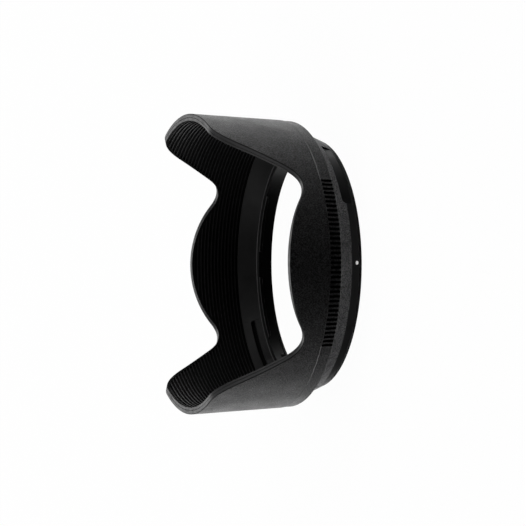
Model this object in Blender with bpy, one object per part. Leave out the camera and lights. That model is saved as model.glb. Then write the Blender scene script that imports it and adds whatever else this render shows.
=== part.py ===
"""Petal lens hood with a bayonet mount, for a wide zoom lens with an 82 mm filter thread.

The optical axis is +Z, pointing to the front. The origin is the middle of the rear face, which meets the lens.
Angles are in degrees round the axis: 0 is the side with the index dot (-Y), 90 is +X.
Sections are loops of (radius, height) points. All lengths are in millimetres until a vertex is made.
"""

import math

import bmesh
import bpy
from mathutils import Matrix, Vector

MM = 0.001
GAP = 0.3  # clearance between neighbouring pieces

# Mount ring: rear flange, bore, seat for the lens flange, and the smooth cone that opens out in front of it.
BORE_R = 44.9
BORE_CHAMFER = 0.15
REAR_OUTER_R = 46.9
REAR_EDGE = 0.25
FLANGE_TOP = 1.0
BORE_WALL_R = 46.1
SEAT_Z = 5.64
SEAT_R = 46.9
CONE_TOP = 11.8
CONE_TOP_R = 51.75
CONE_BACK_R = 47.5
CONE_BACK_SLOPE = 0.76

# Bayonet lugs: two pairs, half a turn apart.
LUG_R = 44.2
LUG_TOP = 5.5
LUG_HEIGHT = 1.1
LUG_SLOPE = 0.2
LUG_SPANS = ((7.0, 41.0), (142.0, 173.0), (187.0, 221.0), (322.0, 353.0))
LUG_END = 1.0

# Collar ring: smooth rear band, then the grained band up to the grip.
COLLAR_TOP = 10.25
COLLAR_TOP_R = 51.85
BAND_Z = 4.75
BAND_R = 49.05
COLLAR_BORE_R = 46.95
COLLAR_BORE_TOP = 3.4

# Detent tongues: moulded springs that click into the lens, one behind each window of the collar.
TONGUE_ANGLES = (27.5, 57.0)
TONGUE_SIDES = {"detent_tongue_a": 0.0, "detent_tongue_b": 180.0}
TONGUE_TOP = 7.9
SLOT_WIDTH = 1.3
PAD_BOTTOM = 2.5
PAD_BOTTOM_R = 48.05
PAD_TOP = 6.3
PAD_TOP_R = 48.4
HINGE_R = 46.5
DETENT_ANGLE = 52.5
DETENT_Z = 2.1
DETENT_HEIGHT = 0.4
DETENT_R = 1.0
WINDOW_ANGLES = (26.3, 61.5)
WINDOW_HEIGHTS = (2.2, 6.6)
WINDOW_CORNER = 1.2

# Grip ring: the serrated band, slid over the sleeve of the petal shell.
GRIP_BOTTOM = 10.55
GRIP_TOP = 15.5
GRIP_R = 54.15
GRIP_TOP_R = 54.42
GRIP_BORE_R = 53.35
GRIP_WEB = 0.6
GRIP_WEB_R = 52.1
GROOVES_A_SIDE = 37
GROOVE_PITCH = 1.84
GROOVE_WIDTH = 0.9
GROOVE_FLOOR_R = 53.7
GROOVE_TOP = 15.25

# Petal shell and the light trap liner inside it.
SLEEVE_BOTTOM = 11.45
SLEEVE_R = 53.05
SLEEVE_BORE_R = 52.48
SHELL_R = 54.5
SHELL_FLARE = 0.045
SHELL_WALL = 1.4
RIM_CHAMFER = 0.5
LINER_BOTTOM = 16.6
THROAT_Z = 12.2
THROAT_R = 52.05
TIP_R = 53.5

# The rim, as heights along the unrolled wall: a round short petal, a straight flank and a level long petal.
RIM_R = 55.5
SHORT_TIP = 31.09
SHORT_ARC_R = 49.06
FLANK_SLOPE = 1.37
FLANK_Z = 35.0
FLANK_AT = 43.45
LONG_TIP = 50.86
NOTCH_BLEND = 15.0
CORNER_BLEND = 8.6

# Index dot.
DOT_Z = 2.25
DOT_R = 0.65
DOT_SINK = 0.3

STEPS = 96
PETAL_STEPS = 144
SHARP_ANGLE = math.radians(30)


def clear_scene():
    for obj in list(bpy.data.objects):
        bpy.data.objects.remove(obj)


def material(name, colour, roughness):
    """A moulded plastic or paint finish."""
    finish = bpy.data.materials.new(name)
    finish.use_nodes = True
    shader = finish.node_tree.nodes["Principled BSDF"]
    shader.inputs["Base Color"].default_value = (*colour, 1.0)
    shader.inputs["Roughness"].default_value = roughness
    shader.inputs["Metallic"].default_value = 0.0
    return finish


def at(angle, radius, height):
    """The point in metres at this angle, radius and height."""
    turn = math.radians(angle)
    return Vector((radius * math.sin(turn), -radius * math.cos(turn), height)) * MM


def around(steps):
    return [360.0 * step / steps for step in range(steps)]


def between(start, end, steps):
    return [start + (end - start) * step / steps for step in range(steps + 1)]


def add_sweep(bm, section_at, angles, closed):
    """Adds the solid that the loop section_at(angle) sweeps through the angles."""
    loops = [[bm.verts.new(at(angle, r, z)) for r, z in section_at(angle)] for angle in angles]
    for here, there in zip(loops, loops[1:] + loops[:1] if closed else loops[1:]):
        for i in range(len(here)):
            bm.faces.new((here[i - 1], here[i], there[i], there[i - 1]))
    if not closed:
        bm.faces.new(loops[0])
        bm.faces.new(reversed(loops[-1]))


def add_turned(bm, section):
    """Adds the full turn of one section."""
    verts = [bm.verts.new(at(0.0, r, z)) for r, z in section]
    edges = [bm.edges.new((verts[i - 1], verts[i])) for i in range(len(verts))]
    bmesh.ops.spin(
        bm, geom=verts + edges, axis=(0, 0, 1), cent=(0, 0, 0), steps=STEPS, angle=math.tau, use_merge=True
    )


def make_object(name, bm, finish=None, origin=Vector()):
    """Turns the mesh into an object whose origin is at the given point."""
    bmesh.ops.recalc_face_normals(bm, faces=bm.faces)
    bmesh.ops.translate(bm, verts=bm.verts, vec=-origin)
    mesh = bpy.data.meshes.new(name)
    bm.to_mesh(mesh)
    bm.free()
    mesh.shade_smooth()
    mesh.set_sharp_from_angle(angle=SHARP_ANGLE)
    obj = bpy.data.objects.new(name, mesh)
    obj.location = origin
    bpy.context.scene.collection.objects.link(obj)
    if finish:
        mesh.materials.append(finish)
    return obj


def make_cutter(name, bm):
    cutter = make_object(name, bm)
    cutter.hide_render = True
    cutter.display_type = "WIRE"
    return cutter


def combine(obj, other, operation):
    boolean = obj.modifiers.new(other.name, "BOOLEAN")
    boolean.object = other
    boolean.operation = operation
    boolean.solver = "EXACT"


def smooth_max(a, b, blend):
    """The larger value, with a parabola of this width where the two cross."""
    share = min(max(0.5 + 0.5 * (a - b) / blend, 0.0), 1.0)
    return b + (a - b) * share + blend * share * (1.0 - share)


def smooth_min(a, b, blend):
    return -smooth_max(-a, -b, blend)


def rim_height(angle):
    """Height of the rim. It is the same in each quarter, from a short petal at 0 to a long petal at 90."""
    quarter = abs((angle + 90.0) % 180.0 - 90.0)
    run = RIM_R * math.radians(quarter)
    short_petal = SHORT_TIP - SHORT_ARC_R + math.sqrt(max(SHORT_ARC_R**2 - run**2, 0.0))
    flank = FLANK_Z + FLANK_SLOPE * (run - FLANK_AT)
    return smooth_min(smooth_max(short_petal, flank, NOTCH_BLEND), LONG_TIP, CORNER_BLEND)


def shell_outer(height):
    return SHELL_R + SHELL_FLARE * (height - GRIP_TOP - GAP)


def shell_inner(height):
    return shell_outer(height) - SHELL_WALL


def throat(height):
    """Radius of the clear opening in front of the cone."""
    return THROAT_R + (TIP_R - THROAT_R) * (height - THROAT_Z) / (LONG_TIP - THROAT_Z)


def cone(height):
    """Inner radius of the smooth cone."""
    return SEAT_R + (CONE_TOP_R - SEAT_R) * (height - SEAT_Z) / (CONE_TOP - SEAT_Z)


def cone_back(height):
    return CONE_BACK_R + CONE_BACK_SLOPE * (height - SEAT_Z)


def cone_back_height(radius):
    return SEAT_Z + (radius - CONE_BACK_R) / CONE_BACK_SLOPE


def collar(height):
    """Outer radius of the rear band."""
    edge_r = REAR_OUTER_R + REAR_EDGE
    return edge_r + (BAND_R - edge_r) * (height - REAR_EDGE) / (BAND_Z - REAR_EDGE)


def rounded_span(angle, span, radius, corner):
    """How far a slot's side draws in at this angle, so that the ends of the slot are rounded."""
    from_end = math.radians(min(angle - span[0], span[1] - angle)) * radius
    short = max(corner - from_end, 0.0)
    return corner - math.sqrt(max(corner**2 - short**2, 0.0))


def slot_angles(span, corner_degrees):
    """Angles along a slot, closer together in its rounded ends."""
    corner = between(0.0, corner_degrees, 3)
    middle = between(span[0] + corner_degrees, span[1] - corner_degrees, 9)[1:-1]
    return [span[0] + a for a in corner] + middle + [span[1] - a for a in reversed(corner)]


def petal_shell(finish):
    sleeve_step = THROAT_Z - 0.1
    liner_stop = LINER_BOTTOM - GAP

    def section(angle):
        rim = rim_height(angle)
        return (
            (SLEEVE_BORE_R, SLEEVE_BOTTOM),
            (SLEEVE_R, SLEEVE_BOTTOM),
            (SLEEVE_R, GRIP_TOP + GAP),
            (SHELL_R, GRIP_TOP + GAP),
            (shell_outer(rim), rim - RIM_CHAMFER),
            (shell_outer(rim) - RIM_CHAMFER, rim),
            (shell_inner(rim), rim),
            (shell_inner(liner_stop), liner_stop),
            (throat(liner_stop), liner_stop),
            (THROAT_R, THROAT_Z),
            (SLEEVE_BORE_R, sleeve_step),
        )

    bm = bmesh.new()
    add_sweep(bm, section, around(PETAL_STEPS), closed=True)
    return make_object("petal_shell", bm, finish)


def light_trap_liner(finish):
    """The ribbed sleeve inside the petals; its ribs are finer than these solids show."""

    def section(angle):
        rim = rim_height(angle)
        return (
            (throat(LINER_BOTTOM), LINER_BOTTOM),
            (shell_inner(LINER_BOTTOM) - GAP, LINER_BOTTOM),
            (shell_inner(rim) - GAP, rim),
            (throat(rim), rim),
        )

    bm = bmesh.new()
    add_sweep(bm, section, around(PETAL_STEPS), closed=True)
    return make_object("light_trap_liner", bm, finish)


def grip_ring(finish):
    corner_bottom = (GRIP_R - 0.85, GRIP_BOTTOM)
    corner_middle = (GRIP_R - 0.3, GRIP_BOTTOM + 0.3)
    corner_top = (GRIP_R, GRIP_BOTTOM + 1.1)
    section = (
        (GRIP_WEB_R, GRIP_BOTTOM),
        corner_bottom,
        corner_middle,
        corner_top,
        (GRIP_TOP_R, GRIP_TOP),
        (GRIP_BORE_R, GRIP_TOP),
        (GRIP_BORE_R, GRIP_BOTTOM + GRIP_WEB),
        (GRIP_WEB_R, GRIP_BOTTOM + GRIP_WEB),
    )
    bm = bmesh.new()
    add_turned(bm, section)
    ring = make_object("grip_ring", bm, finish)

    groove = (
        (GROOVE_FLOOR_R, GRIP_BOTTOM - 1.0),
        (GRIP_R + 1.0, GRIP_BOTTOM - 1.0),
        (GRIP_R + 1.0, GROOVE_TOP),
        (GROOVE_FLOOR_R, GROOVE_TOP),
    )
    bm = bmesh.new()
    for side in (0.0, 180.0):
        for number in range(GROOVES_A_SIDE):
            middle = side + GROOVE_PITCH * (number - (GROOVES_A_SIDE - 1) / 2)
            ends = (middle - GROOVE_WIDTH / 2, middle + GROOVE_WIDTH / 2)
            add_sweep(bm, lambda angle: groove, ends, closed=False)
    combine(ring, make_cutter("groove_cutter", bm), "DIFFERENCE")
    return ring


def collar_ring(finish):
    bottom = FLANGE_TOP + GAP
    section = (
        (collar(bottom), bottom),
        (BAND_R, BAND_Z),
        (COLLAR_TOP_R, COLLAR_TOP),
        (COLLAR_TOP_R - 0.55, COLLAR_TOP),
        (cone_back(TONGUE_TOP) + 0.78, TONGUE_TOP),
        (COLLAR_BORE_R, COLLAR_BORE_TOP),
        (COLLAR_BORE_R, bottom),
    )
    bm = bmesh.new()
    add_turned(bm, section)
    ring = make_object("collar_ring", bm, finish)

    corner_degrees = math.degrees(WINDOW_CORNER / BAND_R)
    bm = bmesh.new()
    for side in TONGUE_SIDES.values():
        span = tuple(side + angle for angle in WINDOW_ANGLES)

        def opening(angle):
            inset = rounded_span(angle, span, BAND_R, WINDOW_CORNER)
            low = WINDOW_HEIGHTS[0] + inset
            high = WINDOW_HEIGHTS[1] - inset
            return ((45.0, low), (53.0, low), (53.0, high), (45.0, high))

        add_sweep(bm, opening, slot_angles(span, corner_degrees), closed=False)
    combine(ring, make_cutter("window_cutter", bm), "DIFFERENCE")
    combine(ring, dot_cylinder("dimple_cutter", DOT_R + GAP, -2 * DOT_SINK, 1.0), "DIFFERENCE")
    return ring


def lug_inner_radius(angle):
    """Inner radius where the lugs are: the bore's own radius, less the lug's height along each lug."""
    for start, end in LUG_SPANS:
        inside = min(angle - start, end - angle)
        if inside > 0:
            return BORE_R - (BORE_R - LUG_R) * min(inside / LUG_END, 1.0)
    return BORE_R


def with_lug_ends(angles):
    """The same angles with the ends of the lugs among them, in order."""
    edges = [edge for start, end in LUG_SPANS for edge in (start, start + LUG_END, end - LUG_END, end)]
    return sorted(set(angles) | {edge for edge in edges if angles[0] < edge < angles[-1]})


def mount_ring(finish):

    def section(angle):
        lug_r = lug_inner_radius(angle)
        return (
            (BORE_R + BORE_CHAMFER, 0.0),
            (REAR_OUTER_R, 0.0),
            (REAR_OUTER_R + REAR_EDGE, REAR_EDGE),
            (collar(FLANGE_TOP), FLANGE_TOP),
            (BORE_WALL_R, FLANGE_TOP),
            (BORE_WALL_R, cone_back_height(BORE_WALL_R)),
            (cone_back(CONE_TOP), CONE_TOP),
            (CONE_TOP_R, CONE_TOP),
            (SEAT_R, SEAT_Z),
            (BORE_R, SEAT_Z),
            (lug_r, LUG_TOP),
            (lug_r, LUG_TOP - LUG_HEIGHT),
            (BORE_R, LUG_TOP - LUG_HEIGHT - LUG_SLOPE),
            (BORE_R, BORE_CHAMFER),
        )

    bm = bmesh.new()
    add_sweep(bm, section, with_lug_ends(around(STEPS)), closed=True)
    ring = make_object("mount_ring", bm, finish)

    end_gap = math.degrees(GAP / HINGE_R)
    corner = SLOT_WIDTH / 2
    corner_degrees = math.degrees(corner / SEAT_R)
    bm = bmesh.new()
    for side in TONGUE_SIDES.values():
        span = (side + TONGUE_ANGLES[0] - end_gap, side + TONGUE_ANGLES[1] + end_gap)

        def relief(angle):
            top = TONGUE_TOP + SLOT_WIDTH - rounded_span(angle, span, SEAT_R, corner)
            return ((43.0, FLANGE_TOP - 0.05), (53.0, FLANGE_TOP - 0.05), (53.0, top), (43.0, top))

        add_sweep(bm, relief, slot_angles(span, corner_degrees), closed=False)
    combine(ring, make_cutter("tongue_relief_cutter", bm), "DIFFERENCE")
    return ring


def detent_tongue(name, side, finish):
    """A springy piece of the bore and cone, rooted at its first angle, with a pad that fills a collar window."""
    bottom = FLANGE_TOP + GAP
    hinge = at(side + TONGUE_ANGLES[0], HINGE_R, 0.0)

    def section(angle):
        lug_r = lug_inner_radius(angle)
        return (
            (BORE_R, bottom),
            (BORE_WALL_R, bottom),
            (BORE_WALL_R, PAD_BOTTOM),
            (PAD_BOTTOM_R, PAD_BOTTOM),
            (PAD_TOP_R, PAD_TOP),
            (cone_back(PAD_TOP), PAD_TOP),
            (cone_back(TONGUE_TOP), TONGUE_TOP),
            (cone(TONGUE_TOP), TONGUE_TOP),
            (SEAT_R, SEAT_Z),
            (BORE_R, SEAT_Z),
            (lug_r, LUG_TOP),
            (lug_r, LUG_TOP - LUG_HEIGHT),
            (BORE_R, LUG_TOP - LUG_HEIGHT - LUG_SLOPE),
        )

    angles = with_lug_ends(between(side + TONGUE_ANGLES[0], side + TONGUE_ANGLES[1], 9))
    bm = bmesh.new()
    add_sweep(bm, section, angles, closed=False)
    tongue = make_object(name, bm, finish, hinge)

    bm = bmesh.new()
    bump_depth = (DETENT_R**2 + DETENT_HEIGHT**2) / (2 * DETENT_HEIGHT)
    middle = at(side + DETENT_ANGLE, BORE_R - DETENT_HEIGHT + bump_depth, DETENT_Z)
    bmesh.ops.create_uvsphere(
        bm, u_segments=24, v_segments=16, radius=bump_depth * MM, matrix=Matrix.Translation(middle)
    )
    ball = make_cutter(name + "_ball", bm)
    bm = bmesh.new()
    inside = ((BORE_R - 1.0, bottom), (BORE_R + 0.4, bottom), (BORE_R + 0.4, 4.0), (BORE_R - 1.0, 4.0))
    add_sweep(bm, lambda angle: inside, between(side + DETENT_ANGLE - 3, side + DETENT_ANGLE + 3, 4), closed=False)
    bump = make_cutter(name + "_bump", bm)
    combine(bump, ball, "INTERSECT")
    combine(tongue, bump, "UNION")
    return tongue


def dot_cylinder(name, radius, start, end, finish=None):
    """A short cylinder square to the rear band at the index mark, from start to end along its outward normal."""
    lean = math.atan((BAND_R - REAR_OUTER_R - REAR_EDGE) / (BAND_Z - REAR_EDGE))
    normal = Vector((0.0, -math.cos(lean), -math.sin(lean)))
    middle = at(0.0, collar(DOT_Z), DOT_Z) + normal * (start + end) / 2 * MM
    turned = normal.to_track_quat("Z", "Y").to_matrix().to_4x4()
    bm = bmesh.new()
    bmesh.ops.create_cone(
        bm,
        cap_ends=True,
        segments=24,
        radius1=radius * MM,
        radius2=radius * MM,
        depth=(end - start) * MM,
        matrix=Matrix.Translation(middle) @ turned,
    )
    return make_object(name, bm, finish) if finish else make_cutter(name, bm)


def main():
    clear_scene()
    grained = material("grained_black", (0.022, 0.022, 0.023), 0.55)
    satin = material("satin_black", (0.014, 0.014, 0.015), 0.42)
    matte = material("matte_black", (0.008, 0.008, 0.008), 0.8)
    white = material("index_white", (0.9, 0.9, 0.88), 0.5)
    petal_shell(grained)
    light_trap_liner(matte)
    grip_ring(grained)
    collar_ring(grained)
    mount_ring(satin)
    for name, side in TONGUE_SIDES.items():
        detent_tongue(name, side, satin)
    dot_cylinder("index_dot", DOT_R, -DOT_SINK, 0.0, white)


main()
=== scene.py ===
"""Looks for the petal lens hood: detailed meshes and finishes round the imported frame.

The frame's +Z is the optical axis. Angles are in degrees round it: 0 is the side with the index dot (-Y),
and 90 is +X. Sections are loops of (radius, height) points in millimetres, and become metres when a vertex
is made.
"""

import math

import bmesh
import bpy
from mathutils import Matrix, Vector


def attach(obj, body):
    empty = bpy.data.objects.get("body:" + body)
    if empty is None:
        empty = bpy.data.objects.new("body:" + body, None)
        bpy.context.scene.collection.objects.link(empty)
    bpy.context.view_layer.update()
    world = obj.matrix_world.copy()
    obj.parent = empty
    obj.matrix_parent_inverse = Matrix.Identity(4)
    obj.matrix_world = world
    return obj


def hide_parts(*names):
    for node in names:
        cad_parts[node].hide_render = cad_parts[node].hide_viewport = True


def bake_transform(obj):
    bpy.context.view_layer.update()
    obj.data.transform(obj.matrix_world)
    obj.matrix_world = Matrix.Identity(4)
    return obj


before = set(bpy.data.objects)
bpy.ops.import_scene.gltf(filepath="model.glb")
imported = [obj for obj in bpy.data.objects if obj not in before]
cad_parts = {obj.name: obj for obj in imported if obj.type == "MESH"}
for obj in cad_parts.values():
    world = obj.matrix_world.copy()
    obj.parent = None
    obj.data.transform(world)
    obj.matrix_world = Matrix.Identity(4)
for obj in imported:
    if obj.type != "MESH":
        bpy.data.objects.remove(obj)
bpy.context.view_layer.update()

MM = 0.001

# Mount ring.
BORE_R = 44.9
REAR_OUTER_R = 46.9
REAR_EDGE = 0.25
FLANGE_TOP = 1.0
BORE_WALL_R = 46.1
BORE_WALL_TOP = 3.8
SEAT_Z = 5.64
SEAT_R = 46.9
CONE_TOP = 12.0
CONE_SLOPE = 0.787
CONE_BACK_R = 47.5
CONE_BACK_SLOPE = 0.76
LUG_R = 44.2
LUG_TOP = 5.5
LUG_HEIGHT = 1.1
LUG_LEAD = 3.5
LUG_LEAD_START = 0.12
LUG_LEAD_TAPER = 0.5
LUG_STOP_TAPER = 0.25
LUG_SPANS = ((6.5, 41.0, 1), (142.0, 173.5, 0), (186.5, 221.0, 1), (322.0, 353.5, 0))
NUB_ANGLES = (-0.4, 179.6)
NUB_HALF_WIDTH = 0.95
NUB_SLOPE = 0.25
NUB_RISE = 0.3
NUB_HEIGHT = 0.55
BORE_MEAN_R = 46.0

# Detent tongues.
TONGUE_SIDES = {"detent_tongue_a": 0.0, "detent_tongue_b": 180.0}
TONGUE_ROOT = 27.13
TONGUE_END = 57.0
TONGUE_GAP = 0.37
TONGUE_TOP = 7.9
TONGUE_BOTTOM = 1.25
SLOT_TOP = 9.2
SLOT_CORNER = 0.65
SLOT_CHAMFER = 0.13
SLOT_MEAN_R = 48.0
TONGUE_CHAMFER = 0.12
TONGUE_FOOT = 0.25
PAD_LOW = 2.3
PAD_LOW_R = 48.03
PAD_HIGH = 6.5
PAD_HIGH_R = 48.4
PAD_END_GAP = 0.1
PAD_OVERLAP = 0.25
PAD_CLEARANCE = 0.12
DETENT_ANGLE = 52.6
DETENT_Z = 2.15
DETENT_R = 0.95
DETENT_HEIGHT = 0.42
DETENT_FULLNESS = 0.7
DETENT_SPAN = 1.8
MOAT_DEPTH = 0.1
MOAT_WIDTH = 0.22

# Collar ring.
COLLAR_BOTTOM = 1.22
COLLAR_TOP = 10.25
COLLAR_TOP_R = 51.85
BAND_Z = 4.75
BAND_R = 49.05
COLLAR_BORE_R = 46.95
COLLAR_BORE_TOP = 3.4
COLLAR_BACK_GAP = 0.78
COLLAR_FRONT_EDGE = 0.15
COLLAR_FRONT_WALL = 0.55
WINDOW_ANGLES = (26.2, 61.5)
WINDOW_LOW = 2.2
WINDOW_HIGH = 6.6
WINDOW_CORNER = 1.3
WINDOW_EDGE = 0.14
WINDOW_MEAN_R = 49.0

# Grip ring.
GRIP_BOTTOM = 10.55
GRIP_TOP = 15.58
GRIP_EDGE = 0.26
GRIP_R = 54.15
GRIP_BORE_R = 53.35
GRIP_WEB_R = 52.1
GRIP_WEB = 0.6
GRIP_ROUNDING = 1.15
GRIP_UNDERCUT = 0.85
GRIP_SWELL = 0.05
GRIP_FLARE_Z = 13.5
GRIP_FLARE = 0.25
GRIP_ROWS = (0.0, 0.03, 0.1, 0.23, 0.4, 0.65, 0.9, GRIP_ROUNDING, 2.05, 2.95, 3.85, 4.45)
GROOVES_A_SIDE = 37
GROOVE_PITCH = 1.84
GROOVE_WIDTH = 0.92
GROOVE_DEPTH = 0.65
GROOVE_TOP = 15.1
GROOVE_RUN_IN = 0.9
GROOVED_HALF = GROOVES_A_SIDE * GROOVE_PITCH / 2

# Petal shell and liner.
SHOULDER_Z = 15.7
SLEEVE_R = 53.05
SLEEVE_BORE_R = 52.48
SLEEVE_BOTTOM = 11.45
SHELL_R = 54.5
SHELL_FLARE = 0.045
SHELL_WALL = 1.4
RIM_ROUND = 0.28
RIM_INNER_ROUND = 0.14
SHOULDER_ROUND = 0.12
LINER_GAP = 0.12
LINER_SINK = 0.02
JOINT_ROUND = 0.07
LINER_BOTTOM = 16.42
THROAT_Z = 12.2
THROAT_R = 52.05
TIP_R = 53.5
RIB_PITCH = 1.408
RIB_START = 13.0
RIB_CREST = 0.4
RIB_FLANK = 0.12
RIB_DEPTH = 0.48
SLEEVE_RIB_DEPTH = 0.34
LAND = 1.1

# Rim heights along the unrolled wall.
RIM_R = 55.5
SHORT_TIP = 31.09
SHORT_ARC_R = 49.06
FLANK_SLOPE = 1.37
FLANK_Z = 35.0
FLANK_AT = 43.45
LONG_TIP = 50.86
NOTCH_BLEND = 15.06
CORNER_BLEND = 8.59

# Index dot.
DOT_Z = 2.25
DOT_R = 0.68
DIMPLE_R = 0.84
DIMPLE_DEPTH = 0.4
DOT_BOTTOM = -0.34
DOT_TOP = -0.04
DOT_EDGE = 0.08

# Camera, in the view that the hood is shown from.
CAMERA_TILT = math.radians(20.57)
CAMERA_NOD = math.radians(-0.4)
CAMERA_ROLL = math.radians(-0.287)
CAMERA_AIM = (19.275, 0.3, 836.97)
CAMERA_LENS = 150.08

# Finishes.
GRAIN_SIZE = 0.48
GRAIN_DEPTH = 0.15
# The index dot's paint glows a little. This is painted light, in place of light falling on it from the
# front.
DOT_PAINTED_LIGHT = 0.45

# Studio: a pale floor and dome that only the camera sees.
BACKDROP_R = 3.0
BACKDROP_STEPS = 64
BACKDROP_RINGS = 12
BACKDROP_GREY = 0.03
BACKDROP_GLOW = 0.97
FLOOR_Z = -0.05
LIGHT_TARGET = (0.0, 0.0, 0.02)
LIGHT_DISTANCE = 1.2
LIGHT_SIZE = 0.73
WORLD_GREY = (0.02, 0.02, 0.02)

# Soft boxes, the same to the left and right of the hood: where each group stands, in degrees, and its power.
OVERHEAD_WATTS = 3.0
SIDE_ELEVATION = 12.0
SIDE_AZIMUTH = 82.0
SIDE_WATTS = 7.0
SHOULDER_ELEVATION = 45.0
SHOULDER_AZIMUTHS = (75.0, 135.0)
SHOULDER_WATTS = 1.5
LOW_ELEVATION = -15.0
LOW_AZIMUTHS = (120.0, 150.0)
LOW_WATTS = 2.5
BACK_ELEVATION = 25.0
BACK_WATTS = 3.0
UNDER_ELEVATIONS = (-40.0, -70.0)
UNDER_WATTS = 5.5

SHARP_ANGLE = math.radians(32)


# Mesh making


def at(angle, radius, height):
    turn = math.radians(angle)
    return Vector((radius * math.sin(turn), -radius * math.cos(turn), height)) * MM


def between(start, end, steps):
    return [start + (end - start) * step / steps for step in range(steps + 1)]


def tidy_mesh(obj):
    """Merges points that meet, and drops faces with no area."""
    bm = bmesh.new()
    bm.from_mesh(obj.data)
    bmesh.ops.remove_doubles(bm, verts=bm.verts, dist=0.002 * MM)
    bmesh.ops.dissolve_degenerate(bm, edges=bm.edges, dist=0.001 * MM)
    loose = [vert for vert in bm.verts if not vert.link_faces]
    bmesh.ops.delete(bm, geom=loose, context="VERTS")
    bmesh.ops.recalc_face_normals(bm, faces=bm.faces)
    bm.to_mesh(obj.data)
    bm.free()


def finish_mesh(obj):
    """Shades the mesh smooth, with large faces kept flat and edges over the angle kept sharp."""
    tidy_mesh(obj)
    obj.data.shade_smooth()
    obj.data.set_sharp_from_angle(angle=SHARP_ANGLE)
    weighted = obj.modifiers.new("weighted_normal", "WEIGHTED_NORMAL")
    weighted.keep_sharp = True
    weighted.weight = 80


def new_object(name, verts, faces):
    mesh = bpy.data.meshes.new(name)
    mesh.from_pydata(verts, [], faces)
    mesh.update()
    obj = bpy.data.objects.new(name, mesh)
    bpy.context.scene.collection.objects.link(obj)
    return obj


def sweep(name, section_at, angles, closed=True, holes=()):
    """The solid that the loop section_at(angle) sweeps through the angles.

    Each hole is (first angle, last angle, a, b, c, d): between those angles the wall is open from point a to
    point b on one side of the loop and from c to d on the other.
    """
    loops = [section_at(angle) for angle in angles]
    count = len(loops[0])
    verts = [at(angle, *point) for angle, loop in zip(angles, loops) for point in loop]
    faces = []
    for i in range(len(angles) if closed else len(angles) - 1):
        here = i * count
        there = (i + 1) % len(angles) * count
        cut = [hole for hole in holes if hole[0] - 1e-6 <= angles[i] < hole[1] - 1e-6]
        for j in range(count):
            back = (j - 1) % count
            if any(a < j <= b or c < j <= d for _, _, a, b, c, d in cut):
                continue
            faces.append((here + back, here + j, there + j, there + back))
        for _, _, a, b, c, d in cut:
            faces.append((here + b, here + c, there + c, there + b))
            faces.append((here + d, here + a, there + a, there + d))
    for first, last, a, b, c, d in holes:
        for edge in (first, last):
            start = min(range(len(angles)), key=lambda i: abs(angles[i] - edge)) * count
            faces.append([start + j for j in [*range(a, b + 1), *range(c, d + 1)]])
    if not closed:
        last = (len(angles) - 1) * count
        faces.append(range(count))
        faces.append([last + j for j in reversed(range(count))])
    return new_object(name, verts, faces)


def from_side(angle):
    """Angle from the nearer of 0 and 180, the middles of the short petals."""
    return (angle + 90.0) % 180.0 - 90.0


def arc_angle(length, radius):
    return math.degrees(length / radius)


def corner_steps(size, radius):
    """Angles in from a slot's end that follow its rounded corners."""
    return [arc_angle(size, radius) * (1 - math.cos(math.radians(15 * step))) for step in range(7)]


def merged(*lists):
    """Angles from several lists, in order, without near repeats."""
    found = []
    for angle in sorted(angle for angles in lists for angle in angles):
        if not found or angle - found[-1] > 0.004:
            found.append(angle)
    return found


def rounded_edge(radius, height, size, lean, steps=4):
    """Points up an edge of the rim and round on to its face: size is negative for an inner edge."""
    points = []
    for step in range(steps + 1):
        turn = math.radians(90.0 * step / steps)
        drop = abs(size) * lean * (1.0 - math.sin(turn))
        points.append((radius - size * (1.0 - math.cos(turn)), height - drop))
    return points


def round_in(distance, radius):
    """How far a slot's side draws in at this distance from its rounded end."""
    short = min(max(radius - distance, 0.0), radius)
    return radius - math.sqrt(max(radius**2 - short**2, 0.0))


def join(obj, other, operation="UNION"):
    """Adds the other solid to this one, or cuts it away, and removes the other."""
    boolean = obj.modifiers.new("boolean", "BOOLEAN")
    boolean.object = other
    boolean.operation = operation
    boolean.solver = "EXACT"
    graph = bpy.context.evaluated_depsgraph_get()
    mesh = bpy.data.meshes.new_from_object(obj.evaluated_get(graph))
    obj.modifiers.clear()
    old = obj.data
    obj.data = mesh
    bpy.data.meshes.remove(old)
    bpy.data.objects.remove(other)
    mesh.name = obj.name


# Shape


def smooth_max(a, b, blend):
    share = min(max(0.5 + 0.5 * (a - b) / blend, 0.0), 1.0)
    return b + (a - b) * share + blend * share * (1.0 - share)


def smooth_min(a, b, blend):
    return -smooth_max(-a, -b, blend)


def rim_height(angle):
    run = RIM_R * math.radians(abs(from_side(angle)))
    short_petal = SHORT_TIP - SHORT_ARC_R + math.sqrt(max(SHORT_ARC_R**2 - run**2, 1.0))
    flank = FLANK_Z + FLANK_SLOPE * (run - FLANK_AT)
    return smooth_min(smooth_max(short_petal, flank, NOTCH_BLEND), LONG_TIP, CORNER_BLEND)


def rim_lean(angle):
    """How much longer than square a step straight down from the rim is, where the rim slopes."""
    step = 0.1
    rise = rim_height(angle + step) - rim_height(angle - step)
    return math.hypot(1.0, rise / (RIM_R * math.radians(2 * step)))


def petal_angles():
    """Angles round the petals, closer together where the rim is steep."""
    angles = [0.0]
    while angles[-1] < 90.0:
        step = 1.0
        while abs(rim_height(angles[-1] + step) - rim_height(angles[-1])) > 0.36:
            step *= 0.9
        angles.append(angles[-1] + step)
    angles = [angle * 90.0 / angles[-1] for angle in angles[:-1]]
    quarter = angles + [90.0]
    half = quarter + [180.0 - angle for angle in reversed(angles)]
    return half[:-1] + [180.0 + angle for angle in half[:-1]]


def shell_outer(height):
    return SHELL_R + SHELL_FLARE * (height - SHOULDER_Z)


def shell_inner(height):
    return shell_outer(height) - SHELL_WALL


def throat(height):
    """Radius of the crests of the baffle ribs."""
    return THROAT_R + (TIP_R - THROAT_R) * (height - THROAT_Z) / (LONG_TIP - THROAT_Z)


def cone(height):
    return SEAT_R + CONE_SLOPE * (height - SEAT_Z)


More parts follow.
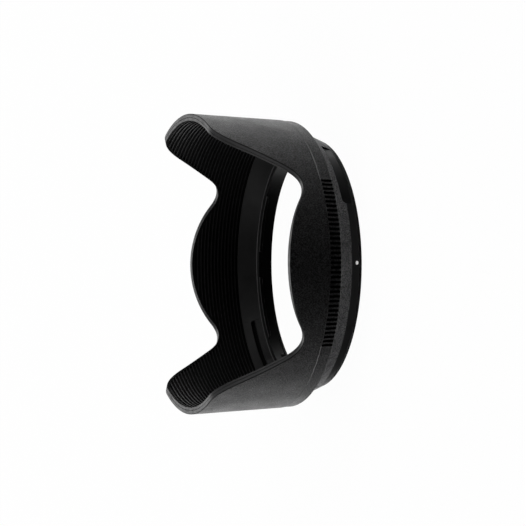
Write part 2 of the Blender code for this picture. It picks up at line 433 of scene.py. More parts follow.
def cone_back(height):
    return CONE_BACK_R + CONE_BACK_SLOPE * (height - SEAT_Z)


def collar(height):
    """Outer radius of the collar."""
    if height < BAND_Z:
        return BAND_R + (BAND_R - REAR_OUTER_R - REAR_EDGE) * (height - BAND_Z) / (BAND_Z - REAR_EDGE)
    return BAND_R + (COLLAR_TOP_R - BAND_R) * (height - BAND_Z) / (COLLAR_TOP - BAND_Z)


def collar_inner(height):
    """Inner radius of the collar, which clears the back of the cone."""
    high_r = cone_back(TONGUE_TOP) + COLLAR_BACK_GAP
    share = min(max((height - COLLAR_BORE_TOP) / (TONGUE_TOP - COLLAR_BORE_TOP), 0.0), 1.0)
    return COLLAR_BORE_R + (high_r - COLLAR_BORE_R) * share


def ribs(low, high, depth):
    """Section of the baffle ribs from low to high, going up: narrow crests between wide grooves."""
    profile = (
        (0.0, 0.0),
        (RIB_CREST, 0.0),
        (RIB_CREST + RIB_FLANK, depth),
        (RIB_PITCH - RIB_FLANK, depth),
    )
    points = []
    for number in range(int((high - RIB_START) / RIB_PITCH) + 1):
        base = RIB_START + RIB_PITCH * number
        for rise, sink in profile:
            if low < base + rise < high:
                points.append((throat(base + rise) + sink, base + rise))
    return points


def petal_shell():
    sleeve_ribs = ribs(RIB_START - 0.01, LINER_BOTTOM - 0.2, SLEEVE_RIB_DEPTH)

    def section(angle):
        rim = rim_height(angle)
        lean = rim_lean(angle)
        outer = [
            (SLEEVE_BORE_R, SLEEVE_BOTTOM),
            (SLEEVE_R, SLEEVE_BOTTOM),
            (SLEEVE_R, SHOULDER_Z),
            (SHELL_R - SHOULDER_ROUND, SHOULDER_Z),
            (SHELL_R - 0.3 * SHOULDER_ROUND, SHOULDER_Z + 0.3 * SHOULDER_ROUND),
            (SHELL_R, SHOULDER_Z + SHOULDER_ROUND),
            (shell_outer(rim), rim - 2.0 * RIM_ROUND * lean),
            *rounded_edge(shell_outer(rim), rim, RIM_ROUND, lean),
        ]
        inner = [
            *reversed(rounded_edge(shell_inner(rim), rim, -JOINT_ROUND, lean, 2)),
            (shell_inner(LINER_BOTTOM - LINER_GAP), LINER_BOTTOM - LINER_GAP),
            (throat(LINER_BOTTOM) + SLEEVE_RIB_DEPTH, LINER_BOTTOM - LINER_GAP),
            *reversed(sleeve_ribs),
            (throat(RIB_START) + SLEEVE_RIB_DEPTH, RIB_START - RIB_FLANK),
            (THROAT_R + SLEEVE_RIB_DEPTH, THROAT_Z),
            (SLEEVE_BORE_R, THROAT_Z - 0.05),
        ]
        return outer + inner

    obj = sweep("petal_shell_outer", section, petal_angles())
    finish_mesh(obj)
    return obj


def light_trap_liner():
    rows = ribs(LINER_BOTTOM + 0.05, LONG_TIP, RIB_DEPTH)

    def section(angle):
        rim = rim_height(angle)
        lean = rim_lean(angle)
        top = rim - LAND * lean
        face = rim - LINER_SINK
        points = [
            (shell_inner(LINER_BOTTOM) - LINER_GAP, LINER_BOTTOM),
            *rounded_edge(shell_inner(rim) - LINER_GAP, face, JOINT_ROUND, lean, 2),
            *reversed(rounded_edge(throat(rim), face, -RIM_INNER_ROUND, lean)),
            (throat(top), top),
        ]
        ribbed = [(r, z) if z < top else (throat(top), top) for r, z in reversed(rows)]
        return points + ribbed + [(throat(LINER_BOTTOM) + RIB_DEPTH, LINER_BOTTOM)]

    obj = sweep("light_trap_ribs", section, petal_angles())
    finish_mesh(obj)
    return obj


def grip_profile(height):
    """Outer radius of the grip, rounded under at the back and flaring slightly to the front."""
    rise = height - GRIP_BOTTOM
    if rise < GRIP_ROUNDING:
        share = math.sqrt(max(1 - (1 - rise / GRIP_ROUNDING) ** 2, 0.0))
        return GRIP_R - GRIP_UNDERCUT + GRIP_UNDERCUT * share
    if height < GRIP_FLARE_Z:
        return GRIP_R + GRIP_SWELL * (rise - GRIP_ROUNDING) / (GRIP_FLARE_Z - GRIP_BOTTOM - GRIP_ROUNDING)
    return GRIP_R + GRIP_SWELL + GRIP_FLARE * (height - GRIP_FLARE_Z) / (GRIP_TOP - GRIP_FLARE_Z)


def grip_grooves(angle):
    """1 on the floor of a groove, 0 on a ridge."""
    number = from_side(angle) / GROOVE_PITCH
    if abs(round(number)) > (GROOVES_A_SIDE - 1) / 2:
        return 0.0
    off = abs(number - round(number)) * GROOVE_PITCH
    return 1.0 if off < GROOVE_WIDTH / 2 - 0.001 else 0.0


def grip_ring():
    def section(angle):
        depth = GROOVE_DEPTH * grip_grooves(angle)
        outer = []
        for rise in GRIP_ROWS:
            height = GRIP_BOTTOM + rise
            outer.append((grip_profile(height) - depth * min(1.0, 0.4 + rise / GROOVE_RUN_IN), height))
        outer += [
            (grip_profile(GROOVE_TOP) - depth, GROOVE_TOP),
            (grip_profile(GROOVE_TOP) - depth * 0.12, GROOVE_TOP + 0.07),
            (grip_profile(GROOVE_TOP), GROOVE_TOP + 0.12),
            (grip_profile(GRIP_TOP), GRIP_TOP - GRIP_EDGE),
            (grip_profile(GRIP_TOP) - 0.3 * GRIP_EDGE, GRIP_TOP - 0.3 * GRIP_EDGE),
            (grip_profile(GRIP_TOP) - GRIP_EDGE, GRIP_TOP),
        ]
        inner = [
            (GRIP_BORE_R, GRIP_TOP),
            (GRIP_BORE_R, GRIP_BOTTOM + GRIP_WEB),
            (GRIP_WEB_R, GRIP_BOTTOM + GRIP_WEB),
            (GRIP_WEB_R, GRIP_BOTTOM),
        ]
        return outer + inner

    edges = []
    for side in (0.0, 180.0):
        for number in range(GROOVES_A_SIDE):
            middle = side + GROOVE_PITCH * (number - (GROOVES_A_SIDE - 1) / 2)
            for off in (GROOVE_WIDTH / 2 + 0.05, GROOVE_WIDTH / 2 - 0.02):
                edges += [(middle - off) % 360.0, (middle + off) % 360.0]
    plain = [angle for angle in range(360) if abs(from_side(angle)) > GROOVED_HALF]
    obj = sweep("grip_band", section, merged(plain, edges))
    finish_mesh(obj)
    return obj


def collar_ring():
    edge = arc_angle(WINDOW_EDGE, WINDOW_MEAN_R)

    def section(angle):
        inset = 0.0
        sunk = 0.0
        low = WINDOW_LOW + WINDOW_CORNER
        high = WINDOW_HIGH - WINDOW_CORNER
        for side in TONGUE_SIDES.values():
            near = min(angle - side - WINDOW_ANGLES[0], side + WINDOW_ANGLES[1] - angle)
            if near > -1e-6:
                inset = round_in(math.radians(near) * WINDOW_MEAN_R, WINDOW_CORNER)
                low = WINDOW_LOW + inset
                high = WINDOW_HIGH - inset
                sunk = WINDOW_EDGE
        outer = [
            (collar(COLLAR_BOTTOM) - 0.14, COLLAR_BOTTOM),
            (collar(COLLAR_BOTTOM + 0.04) - 0.04, COLLAR_BOTTOM + 0.04),
            (collar(COLLAR_BOTTOM + 0.16), COLLAR_BOTTOM + 0.16),
            (collar(low), low),
            (collar(BAND_Z) - sunk, BAND_Z),
            (collar(high) - sunk, high),
            (collar(high + WINDOW_EDGE), high + WINDOW_EDGE),
            (collar(COLLAR_TOP - COLLAR_FRONT_EDGE), COLLAR_TOP - COLLAR_FRONT_EDGE),
            (collar(COLLAR_TOP) - COLLAR_FRONT_EDGE, COLLAR_TOP),
        ]
        inner = [
            (COLLAR_TOP_R - COLLAR_FRONT_WALL, COLLAR_TOP),
            (collar_inner(TONGUE_TOP), TONGUE_TOP),
            (collar_inner(high), high),
            (collar_inner(COLLAR_BORE_TOP), COLLAR_BORE_TOP + 0.05),
            (collar_inner(low), low - 0.001),
            (COLLAR_BORE_R, COLLAR_BOTTOM),
        ]
        return outer + inner

    angles = [list(range(360))]
    holes = []
    for side in TONGUE_SIDES.values():
        first = side + WINDOW_ANGLES[0]
        last = side + WINDOW_ANGLES[1]
        near = corner_steps(WINDOW_CORNER, WINDOW_MEAN_R)
        angles.append([first - edge, last + edge])
        angles.append([first + a for a in near])
        angles.append([last - a for a in near])
        holes.append((first, last, 3, 5, 11, 13))
    obj = sweep("collar_band", section, merged(*angles), holes=holes)
    tidy_mesh(obj)
    join(obj, dot_solid("dimple_cutter", DIMPLE_R, -DIMPLE_DEPTH, 1.0, 40, 0.0), "DIFFERENCE")
    finish_mesh(obj)
    return obj


def lug_section(angle):
    """Inner radius and lower edge of the lugs at this angle."""
    for start, end, lead_at_end in LUG_SPANS:
        if start <= angle <= end:
            from_lead = end - angle if lead_at_end else angle - start
            from_stop = angle - start if lead_at_end else end - angle
            height = LUG_HEIGHT * min(LUG_LEAD_START + from_lead / LUG_LEAD, 1.0)
            full = min(from_lead / LUG_LEAD_TAPER, from_stop / LUG_STOP_TAPER, 1.0)
            return BORE_R - (BORE_R - LUG_R) * full, LUG_TOP - height
    for middle in NUB_ANGLES:
        off = abs((angle - middle + 180.0) % 360.0 - 180.0)
        if off < NUB_HALF_WIDTH:
            rise = NUB_RISE * min((NUB_HALF_WIDTH - off) / NUB_SLOPE, 1.0)
            return BORE_R - rise, LUG_TOP - NUB_HEIGHT
    return BORE_R, LUG_TOP - LUG_HEIGHT


def lug_angles():
    found = []
    for start, end, lead_at_end in LUG_SPANS:
        lead = [0.0, 0.25, 0.5, 1.0, 1.5, 2.0, 2.5, 3.1, LUG_LEAD]
        stop = [0.0, LUG_STOP_TAPER]
        found += [end - a if lead_at_end else start + a for a in lead]
        found += [start + a if lead_at_end else end - a for a in stop]
    for middle in NUB_ANGLES:
        for off in (NUB_HALF_WIDTH, NUB_HALF_WIDTH - NUB_SLOPE):
            found += [(middle - off) % 360.0, (middle + off) % 360.0]
    return found


def bore_rows(angle, top_of_cone):
    """Section of the inside from the cone down to the bore, going down."""
    lug_r, lug_z = lug_section(angle % 360.0)
    return [
        (cone(top_of_cone), top_of_cone),
        (SEAT_R + 0.13, SEAT_Z + 0.16),
        (SEAT_R + 0.02, SEAT_Z + 0.06),
        (SEAT_R - 0.06, SEAT_Z),
        (BORE_R + 0.1, SEAT_Z),
        (lug_r + 0.1, SEAT_Z - 0.04),
        (lug_r, SEAT_Z - 0.14),
        (lug_r, lug_z),
        (min(lug_r + 0.12, BORE_R), lug_z - 0.1),
        (BORE_R, lug_z - 0.16),
    ]


def mount_ring():
    def section(angle):
        slot_top = SLOT_TOP - SLOT_CORNER
        sunk = 0.0
        for side in TONGUE_SIDES.values():
            from_root = angle - side - TONGUE_ROOT
            from_end = side + TONGUE_END + TONGUE_GAP - angle
            if min(from_root, from_end) > -1e-6:
                slot_top = SLOT_TOP - round_in(math.radians(from_root) * SLOT_MEAN_R, SLOT_CORNER)
                sunk = SLOT_CHAMFER
        outer = [
            (BORE_R + 0.2, 0.0),
            (REAR_OUTER_R - 0.05, 0.0),
            (REAR_OUTER_R + 0.08, 0.05),
            (REAR_OUTER_R + REAR_EDGE - 0.04, 0.14),
            (REAR_OUTER_R + REAR_EDGE, REAR_EDGE + 0.05),
            (collar(FLANGE_TOP - 0.12), FLANGE_TOP - 0.12),
            (collar(FLANGE_TOP) - 0.12, FLANGE_TOP),
            (BORE_WALL_R, FLANGE_TOP),
            (BORE_WALL_R, BORE_WALL_TOP),
            (cone_back(slot_top), slot_top),
            (cone_back(CONE_TOP) - 0.2, CONE_TOP),
        ]
        rows = bore_rows(angle, TONGUE_TOP)
        inner = [
            (cone(CONE_TOP) + 0.1, CONE_TOP),
            (cone(CONE_TOP - 0.1), CONE_TOP - 0.1),
            (cone(slot_top + SLOT_CHAMFER), slot_top + SLOT_CHAMFER),
            (cone(slot_top) + sunk, slot_top),
            *[(r + sunk, z) for r, z in rows],
            (BORE_R + sunk, FLANGE_TOP),
            (BORE_R, FLANGE_TOP - SLOT_CHAMFER),
            (BORE_R, 0.2),
            (BORE_R + 0.06, 0.06),
        ]
        return outer + inner

    angles = [list(range(360)), lug_angles()]
    holes = []
    margin = arc_angle(SLOT_CHAMFER, BORE_MEAN_R)
    for side in TONGUE_SIDES.values():
        first = side + TONGUE_ROOT
        last = side + TONGUE_END + TONGUE_GAP
        angles.append([first - margin, last + margin, last])
        angles.append([first + step for step in corner_steps(SLOT_CORNER, SLOT_MEAN_R)])
        holes.append((first, last, 7, 9, 14, 25))
    obj = sweep("mount_flange", section, merged(*angles), holes=holes)
    finish_mesh(obj)
    return obj


def recess_floor(side):
    """The outer face of a tongue, which fills the window of the collar and makes the floor of the recess."""
    gap = arc_angle(PAD_END_GAP, SLOT_MEAN_R)
    first = side + WINDOW_ANGLES[0] + gap
    last = side + WINDOW_ANGLES[1] - gap
    radius = WINDOW_CORNER - PAD_END_GAP

    def section(angle):
        inset = round_in(math.radians(min(angle - first, last - angle)) * SLOT_MEAN_R, radius)
        low = PAD_LOW + inset
        high = PAD_HIGH - inset
        on_tongue = side + TONGUE_ROOT + 0.02 < angle < side + TONGUE_END - 0.02
        lift = -PAD_OVERLAP if on_tongue else PAD_CLEARANCE

        def top_r(z):
            return PAD_LOW_R + (PAD_HIGH_R - PAD_LOW_R) * (z - PAD_LOW) / (PAD_HIGH - PAD_LOW)

        def under_r(z):
            return max(BORE_WALL_R, cone_back(z)) + lift

        return [
            (top_r(low), low),
            (top_r(high - 0.1), high - 0.1),
            (max(top_r(high) - 0.1, under_r(high) + 0.01), high),
            (under_r(high), high - 0.001),
            (under_r(BORE_WALL_TOP), BORE_WALL_TOP),
            (under_r(low), low),
        ]

    near = corner_steps(radius, SLOT_MEAN_R)
    root = side + TONGUE_ROOT
    end = side + TONGUE_END
    ends = [first + a for a in near] + [last - a for a in near]
    middle = between(first + near[-1], last - near[-1], 26)
    angles = merged(ends, [root, root + 0.05, end - 0.05, end], middle)
    obj = sweep("recess_floor", section, angles, closed=False)
    tidy_mesh(obj)
    return obj


def detent_tongue(name, side):
    root = side + TONGUE_ROOT
    heights = between(DETENT_Z + 1.3, DETENT_Z - 0.75, 12)

    def section(angle):
        from_root = math.radians(angle - root) * SLOT_MEAN_R
        bottom = TONGUE_BOTTOM - (TONGUE_FOOT - min(from_root, TONGUE_FOOT))
        top = TONGUE_TOP + round_in(from_root, SLOT_CORNER)
        rows = bore_rows(angle, top - TONGUE_CHAMFER)
        detent = []
        for z in heights:
            off = math.hypot(math.radians(angle - side - DETENT_ANGLE) * BORE_R, z - DETENT_Z)
            rise = DETENT_HEIGHT * max(1 - (off / DETENT_R) ** 2, 0.0) ** DETENT_FULLNESS
            moat = MOAT_DEPTH * max(1 - abs(off - DETENT_R - 0.1) / MOAT_WIDTH, 0.0)
            detent.append((BORE_R - rise + moat, z))
        return [
            (BORE_R + TONGUE_CHAMFER, bottom),
            (BORE_WALL_R, bottom),
            (BORE_WALL_R, BORE_WALL_TOP),
            (cone_back(top), top),
            (cone(top) + TONGUE_CHAMFER, top),
            *rows,
            *detent,
            (BORE_R, bottom + TONGUE_CHAMFER),
        ]

    first = [root + step for step in corner_steps(SLOT_CORNER, SLOT_MEAN_R)]
    detent = side + DETENT_ANGLE
    detent_angles = between(detent - DETENT_SPAN, detent + DETENT_SPAN, 22)
    plain = between(root, side + TONGUE_END, 30)
    lugs = [a for a in lug_angles() if root + 0.05 < a < side + TONGUE_END]
    foot = root + arc_angle(TONGUE_FOOT, SLOT_MEAN_R)
    edge = side + TONGUE_END - arc_angle(TONGUE_CHAMFER, BORE_MEAN_R)
    angles = merged(first, plain, detent_angles, lugs, [foot, edge])

    obj = sweep(name.replace("detent_tongue", "detent_spring"), section, angles, closed=False)
    tidy_mesh(obj)
    join(obj, recess_floor(side))
    finish_mesh(obj)
    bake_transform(obj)
    return obj


def dot_solid(name, radius, bottom, top, segments, edge):
    """A disc square to the rear band at the index mark, from bottom to top along its outward normal."""
    lean = math.atan((BAND_R - REAR_OUTER_R - REAR_EDGE) / (BAND_Z - REAR_EDGE))
    normal = Vector((0.0, -math.cos(lean), -math.sin(lean)))
    middle = at(0.0, collar(DOT_Z), DOT_Z)
    turned = Matrix.Translation(middle) @ normal.to_track_quat("Z", "Y").to_matrix().to_4x4()
    profile = [
        (radius, bottom),
        (radius, top - edge),
        (radius - edge * 0.3, top - edge * 0.3),
        (radius - edge, top),
    ]
    if edge:
        profile += [(radius * 0.6, top + edge * 0.35), (radius * 0.3, top + edge * 0.5)]
    verts = []
    for r, z in profile:
        for step in range(segments):
            turn = math.tau * step / segments
            verts.append(turned @ (Vector((r * math.cos(turn), r * math.sin(turn), z)) * MM))
    faces = [list(reversed(range(segments))), [(len(profile) - 1) * segments + s for s in range(segments)]]
    for ring in range(len(profile) - 1):
        for step in range(segments):
            nxt = (step + 1) % segments
            low = ring * segments
            faces.append((low + step, low + nxt, low + segments + nxt, low + segments + step))
    obj = new_object(name, verts, faces)
    bm = bmesh.new()
    bm.from_mesh(obj.data)
    bmesh.ops.remove_doubles(bm, verts=bm.verts, dist=0.001 * MM)
    bmesh.ops.recalc_face_normals(bm, faces=bm.faces)
    bm.to_mesh(obj.data)
    bm.free()
    return obj


# Finishes


def grey(value):
    """A dark neutral colour, a hair cooler than grey."""
    return (value, value, 1.04 * value)


class Finish:
    """A material's node tree, with short ways to add nodes."""

    def __init__(self, name, roughness, specular):
        self.material = bpy.data.materials.new(name)
        self.material.use_nodes = True
        self.tree = self.material.node_tree
        self.shader = self.tree.nodes["Principled BSDF"]
        self.shader.inputs["Roughness"].default_value = roughness
        self.shader.inputs["Specular IOR Level"].default_value = specular
        self.coordinates = self.tree.nodes.new("ShaderNodeTexCoord").outputs["Object"]

    def link(self, source, target):
        self.tree.links.new(source, target)

    def noise(self, size_mm, detail=2.0, roughness=0.5):
        node = self.tree.nodes.new("ShaderNodeTexNoise")
        node.inputs["Scale"].default_value = 1.0 / (size_mm * MM)
        node.inputs["Detail"].default_value = detail
        node.inputs["Roughness"].default_value = roughness
        self.link(self.coordinates, node.inputs["Vector"])
        return node.outputs["Fac"]

    def cells(self, size_mm):
        node = self.tree.nodes.new("ShaderNodeTexVoronoi")
        node.inputs["Scale"].default_value = 1.0 / (size_mm * MM)
        self.link(self.coordinates, node.inputs["Vector"])
        return node.outputs["Distance"]

    def spread(self, value, low, high, start=0.3, end=0.7):
        node = self.tree.nodes.new("ShaderNodeMapRange")
        node.inputs["From Min"].default_value = start
        node.inputs["From Max"].default_value = end
        node.inputs["To Min"].default_value = low
        node.inputs["To Max"].default_value = high
        self.link(value, node.inputs["Value"])
        return node.outputs["Result"]

    def maths(self, operation, a, b):
        node = self.tree.nodes.new("ShaderNodeMath")
        node.operation = operation
        for value, socket in ((a, node.inputs[0]), (b, node.inputs[1])):
            if isinstance(value, (int, float)):
                socket.default_value = value
            else:
                self.link(value, socket)
        return node.outputs["Value"]

    def colours(self, value, low, high):
        """Mixes two colours, each a tuple or another node's output."""
        node = self.tree.nodes.new("ShaderNodeMix")
        node.data_type = "RGBA"
        for colour, socket in ((low, node.inputs["A"]), (high, node.inputs["B"])):
            if isinstance(colour, tuple):
                socket.default_value = (*colour, 1.0)
            else:
                self.link(colour, socket)
        self.link(value, node.inputs["Factor"])
        return node.outputs["Result"]

    def bump(self, value, depth_mm, strength=1.0, normal=None):
        node = self.tree.nodes.new("ShaderNodeBump")
        node.inputs["Strength"].default_value = strength
        node.inputs["Distance"].default_value = depth_mm * MM
        self.link(value, node.inputs["Height"])
        if normal:
            self.link(normal, node.inputs["Normal"])
        return node.outputs["Normal"]

    def set(self, socket, source):
        self.link(source, self.shader.inputs[socket])


def grained_plastic(name, dark, light):
    """Moulded plastic with a sand grain, whose tips are lighter."""
    finish = Finish(name, 0.5, 0.3)
    pebbles = finish.maths("MULTIPLY", finish.cells(GRAIN_SIZE), 0.6)
    grain = finish.maths("ADD", finish.noise(0.8 * GRAIN_SIZE, 3.0, 0.65), pebbles)
    tips = finish.spread(finish.noise(0.9 * GRAIN_SIZE, 2.0, 0.6), 0.0, 1.0, 0.43, 0.6)
    clouds = finish.noise(9.0, 3.0)
    finish.set("Base Color", finish.colours(tips, grey(dark), grey(light)))
    finish.set("Roughness", finish.spread(clouds, 0.45, 0.57))
    finish.set("Normal", finish.bump(grain, GRAIN_DEPTH))
    return finish.material


def satin_plastic(name, dark, light, specular):
    """Smooth moulded plastic with faint flow marks."""
    finish = Finish(name, 0.4, specular)
    flow = finish.noise(3.5, 4.0, 0.6)
    fine = finish.noise(0.12, 2.0)
    finish.set("Base Color", finish.colours(flow, grey(dark), grey(light)))
    finish.set("Roughness", finish.spread(flow, 0.36, 0.5))
    finish.set("Normal", finish.bump(fine, 0.006, 0.7, finish.bump(flow, 0.02, 0.3)))
    return finish.material


def matte_plastic(name):
    """Dead matte anti-reflection finish, which also paints shade in the grooves of the grip."""
    finish = Finish(name, 0.75, 0.05)
    fine = finish.noise(0.16, 3.0, 0.7)
    wide = finish.noise(6.0, 3.0)
    finish.set("Base Color", finish.colours(wide, (0.003, 0.003, 0.003), (0.007, 0.007, 0.007)))
    finish.set("Roughness", finish.spread(fine, 0.66, 0.86))
    finish.set("Normal", finish.bump(fine, 0.015, 0.8))
    return finish.material


def painted_highlight_plastic(name, dark, light, specular):
    """Paler, slightly glossier plastic that paints a highlight on a narrow edge or crest."""
    finish = Finish(name, 0.38, specular)
    highlight_mottle = finish.noise(1.6, 4.0, 0.7)
    finish.set("Base Color", finish.colours(finish.spread(highlight_mottle, 0.0, 1.0), grey(dark), grey(light)))
    finish.set("Roughness", finish.spread(highlight_mottle, 0.46, 0.32))
    finish.set("Normal", finish.bump(highlight_mottle, 0.02, 0.5))
    return finish.material


def white_paint(name):
    finish = Finish(name, 0.5, 0.4)
    # Painted light: the white paint glows a little, so the dot reads bright with no lamp in front of it.
    finish.shader.inputs["Emission Color"].default_value = (1.0, 1.0, 0.98, 1.0)
    finish.shader.inputs["Emission Strength"].default_value = DOT_PAINTED_LIGHT
    fine = finish.noise(0.2, 2.0)
    finish.set("Base Color", finish.colours(fine, (0.82, 0.82, 0.8), (0.92, 0.92, 0.9)))
    finish.set("Roughness", finish.spread(fine, 0.4, 0.6))
    finish.set("Normal", finish.bump(fine, 0.008, 0.5))
    return finish.material


# Stage


def camera_only(obj):
    """Keeps the backdrop out of the light and the reflections on the hood."""
    obj.visible_diffuse = False
    obj.visible_glossy = False
    obj.visible_transmission = False
    obj.visible_shadow = False


def glowing_white():
    material = bpy.data.materials.new("pale_backdrop")
    material.use_nodes = True
    shader = material.node_tree.nodes["Principled BSDF"]
    shader.inputs["Base Color"].default_value = (BACKDROP_GREY, BACKDROP_GREY, BACKDROP_GREY, 1.0)
    shader.inputs["Roughness"].default_value = 0.9
    shader.inputs["Specular IOR Level"].default_value = 0.0
    shader.inputs["Emission Color"].default_value = (1.0, 1.0, 1.0, 1.0)
    shader.inputs["Emission Strength"].default_value = BACKDROP_GLOW
    return material


def backdrop():
    """A pale floor and the dome over it."""
    material = glowing_white()
    turns = [360.0 * step / BACKDROP_STEPS for step in range(BACKDROP_STEPS)]
    radius = BACKDROP_R / MM
    floor = new_object("floor", [at(turn, radius, FLOOR_Z) for turn in turns], [list(range(BACKDROP_STEPS))])
    rises = [math.radians(90.0 * ring / BACKDROP_RINGS) for ring in range(BACKDROP_RINGS)]
    verts = []
    for rise in rises:
        verts += [at(turn, radius * math.cos(rise), radius * math.sin(rise) + FLOOR_Z) for turn in turns]
    verts.append(at(0.0, 0.0, radius))
    faces = []
    for ring in range(BACKDROP_RINGS):
        for step in range(BACKDROP_STEPS):
            low = ring * BACKDROP_STEPS
            nxt = (step + 1) % BACKDROP_STEPS
            if ring < BACKDROP_RINGS - 1:
                high = low + BACKDROP_STEPS
                faces.append((low + nxt, low + step, high + step, high + nxt))
            else:
                faces.append((low + nxt, low + step, len(verts) - 1))
    dome = new_object("backdrop", verts, faces)
    for obj in (floor, dome):
        obj.data.materials.append(material)
        camera_only(obj)


def soft_light(elevation, azimuth, watts):
    """A round soft box aimed at the hood: azimuth 0 is the side of the camera, 90 is +X."""
    rise = math.radians(elevation)
    target = Vector(LIGHT_TARGET)
    place = target + at(azimuth, 1.0, 0.0) * (LIGHT_DISTANCE / MM) * math.cos(rise)
    place.z += LIGHT_DISTANCE * math.sin(rise)
    light = bpy.data.lights.new("soft_box", "AREA")
    light.shape = "DISK"
    light.size = LIGHT_SIZE
    light.energy = watts
    obj = bpy.data.objects.new("soft_box", light)
    obj.location = place
    obj.rotation_mode = "QUATERNION"
    obj.rotation_quaternion = (target - place).to_track_quat("-Z", "Y")
    obj.visible_camera = False
    bpy.context.scene.collection.objects.link(obj)


def soft_pair(elevation, azimuth, watts):
    """Two soft boxes alike, one on each side of the hood."""
    soft_light(elevation, azimuth, watts)
    soft_light(elevation, 360.0 - azimuth, watts)


def lights():
    soft_light(90.0, 0.0, OVERHEAD_WATTS)
    soft_pair(SIDE_ELEVATION, SIDE_AZIMUTH, SIDE_WATTS)
    for azimuth in SHOULDER_AZIMUTHS:
        soft_pair(SHOULDER_ELEVATION, azimuth, SHOULDER_WATTS)
    for azimuth in LOW_AZIMUTHS:
        soft_pair(LOW_ELEVATION, azimuth, LOW_WATTS)
    soft_light(BACK_ELEVATION, 180.0, BACK_WATTS)
    for elevation in UNDER_ELEVATIONS:
        soft_light(elevation, 180.0, UNDER_WATTS)
    world = bpy.data.worlds.new("studio")
    world.use_nodes = True
    world.node_tree.nodes["Background"].inputs["Color"].default_value = (*WORLD_GREY, 1.0)
    bpy.context.scene.world = world


def camera():
    sine, cosine = math.sin(CAMERA_TILT), math.cos(CAMERA_TILT)
    base = Matrix(((0.0, -sine, -cosine), (-1.0, 0.0, 0.0), (0.0, cosine, -sine)))
    turn = Matrix.Rotation(CAMERA_ROLL, 3, "Z") @ Matrix.Rotation(CAMERA_NOD, 3, "X") @ base
    place = -(turn.transposed() @ Vector(CAMERA_AIM)) * MM
    axes = Matrix((turn[0], -turn[1], -turn[2])).transposed()
    data = bpy.data.cameras.new("camera")
    data.sensor_width = 36.0
    data.lens = CAMERA_LENS
    data.clip_start = 0.01
    data.clip_end = 20.0
    obj = bpy.data.objects.new("camera", data)
    obj.matrix_world = Matrix.Translation(place) @ axes.to_4x4()
    bpy.context.scene.collection.objects.link(obj)
    bpy.context.scene.camera = obj


def place(obj, node, slot, finishes, body="hood"):
    """The piece stands for the CAD node and, when a body is given, moves with it.

    Its finishes are a material for the whole, then pairs of a material and a test of (angle, radius, height)
    that picks the faces that take it.
    """
    whole, *parts = finishes
    obj.data.materials.clear()
    for material in (whole, *(part for part, _ in parts)):
        obj.data.materials.append(material)
    for face in obj.data.polygons:
        x, y, z = face.center / MM
        spot = (math.degrees(math.atan2(x, -y)), math.hypot(x, y), z)
        face.material_index = 0
        for index, (_, picks) in enumerate(parts, 1):
            if picks(*spot):
                face.material_index = index
    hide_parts(node)
    if body:
        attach(obj, body)


def on_shell_rim(angle, radius, height):
    return height > rim_height(angle) - (RIM_ROUND + 0.05) * rim_lean(angle)


def on_shell_corner_shade(angle, radius, height):
    """The rounding between the rim's face and the outside, painted with shade in the darker dull plastic."""
    return on_shell_rim(angle, radius, height) and radius > shell_outer(height) - 0.9 * RIM_ROUND


def on_liner_rim(angle, radius, height):
    return height > rim_height(angle) - (RIM_INNER_ROUND + 0.05) * rim_lean(angle)


def on_grip_edge(angle, radius, height):
    """The front edge of the grip where it has no grooves."""
    plain = abs(from_side(angle)) > GROOVED_HALF
    return plain and height > GRIP_TOP - GRIP_EDGE and radius > GRIP_R


def in_sleeve(angle, radius, height):
    return height < LINER_BOTTOM + 0.1 and radius < SLEEVE_R - 0.02


def on_crest(angle, radius, height):
    """The narrow faces of the baffle ribs that look inwards, up to the plain land at the rim."""
    return abs(radius - throat(height)) < 0.02 and height < rim_height(angle) - 0.9 * LAND * rim_lean(angle)


def inside_collar(angle, radius, height):
    return radius < collar(height) - 0.3


def on_rear_band(angle, radius, height):
    """The smooth band behind the grained one."""
    return height < BAND_Z


def on_seat_edge(angle, radius, height):
    return SEAT_R - 0.03 < radius < SEAT_R + 0.16 and SEAT_Z < height < SEAT_Z + 0.2


def on_lug_edge(angle, radius, height):
    return radius < LUG_R + 0.07 and (height > SEAT_Z - 0.13 or height < LUG_TOP - LUG_HEIGHT)


def in_groove_shade(angle, radius, height):
    """The floors and the side walls of the grooves in the grip, where the matte plastic paints shade."""
    return radius < grip_profile(height) - 0.15 and GRIP_BOTTOM + 0.3 < height < GROOVE_TOP + 0.05


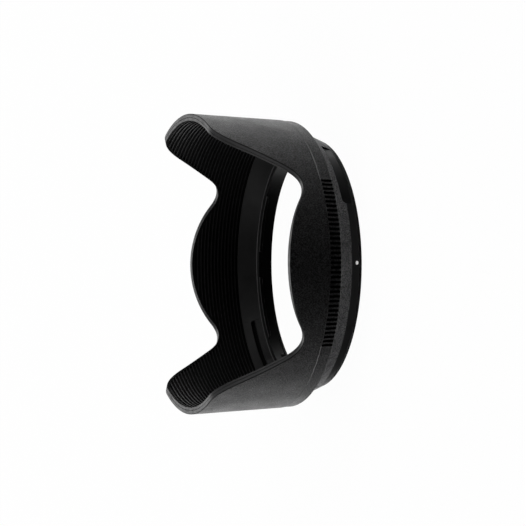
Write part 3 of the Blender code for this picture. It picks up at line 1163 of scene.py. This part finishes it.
def main():
    bpy.context.scene.view_settings.view_transform = "Standard"
    grained = grained_plastic("grained_plastic", 0.001, 0.044)
    # Painted light: a paler copy of the grained plastic, standing in for the light that falls on the collar
    # from behind.
    grained_painted_light = grained_plastic("grained_plastic_painted_light", 0.008, 0.14)
    satin = satin_plastic("satin_plastic", 0.01, 0.018, 0.3)
    # The dull plastic is the finish of the mount ring and the rear band. On the shell's outer rim rounding
    # it is painted shade.
    dull_and_shade = satin_plastic("dull_plastic_and_painted_shade", 0.004, 0.008, 0.18)
    matte = matte_plastic("matte_plastic")
    white = white_paint("white_paint")
    # Painted highlights: this paler plastic stands in for light catching the rib crests, the grip's front
    # edge, the seat's edge and the lugs' edges.
    crest_highlight = painted_highlight_plastic("crest_painted_highlight", 0.014, 0.028, 0.05)
    edge = painted_highlight_plastic("edge_painted_highlight", 0.03, 0.07, 0.45)
    shell_finishes = [
        grained,
        (satin, on_shell_rim),
        (dull_and_shade, on_shell_corner_shade),
        (matte, in_sleeve),
        (crest_highlight, on_crest),
    ]
    place(petal_shell(), "petal_shell", "grained_shell", shell_finishes)
    liner_finishes = [matte, (satin, on_liner_rim), (crest_highlight, on_crest)]
    place(light_trap_liner(), "light_trap_liner", "matte_liner", liner_finishes)
    # In the grip's grooves the matte plastic is painted shade. On the plain front edge the paler plastic is
    # a painted highlight.
    grip_finishes = [grained, (matte, in_groove_shade), (edge, on_grip_edge)]
    place(grip_ring(), "grip_ring", "grained_grip", grip_finishes)
    # The collar's grained band takes the paler copy of the grained plastic, which is painted light.
    collar_finishes = [grained_painted_light, (dull_and_shade, on_rear_band), (matte, inside_collar)]
    place(collar_ring(), "collar_ring", "grained_collar", collar_finishes)
    # Painted highlights on the edge of the seat and the edges of the lugs.
    mount_finishes = [dull_and_shade, (edge, on_seat_edge), (edge, on_lug_edge)]
    place(mount_ring(), "mount_ring", "satin_mount", mount_finishes)
    for name, side in TONGUE_SIDES.items():
        place(detent_tongue(name, side), name, "satin_tongue", mount_finishes, body=None)
    dot = dot_solid("index_mark", DOT_R, DOT_BOTTOM, DOT_TOP, 48, DOT_EDGE)
    finish_mesh(dot)
    place(dot, "index_dot", "white_paint", [white])
    backdrop()
    lights()
    camera()


main()
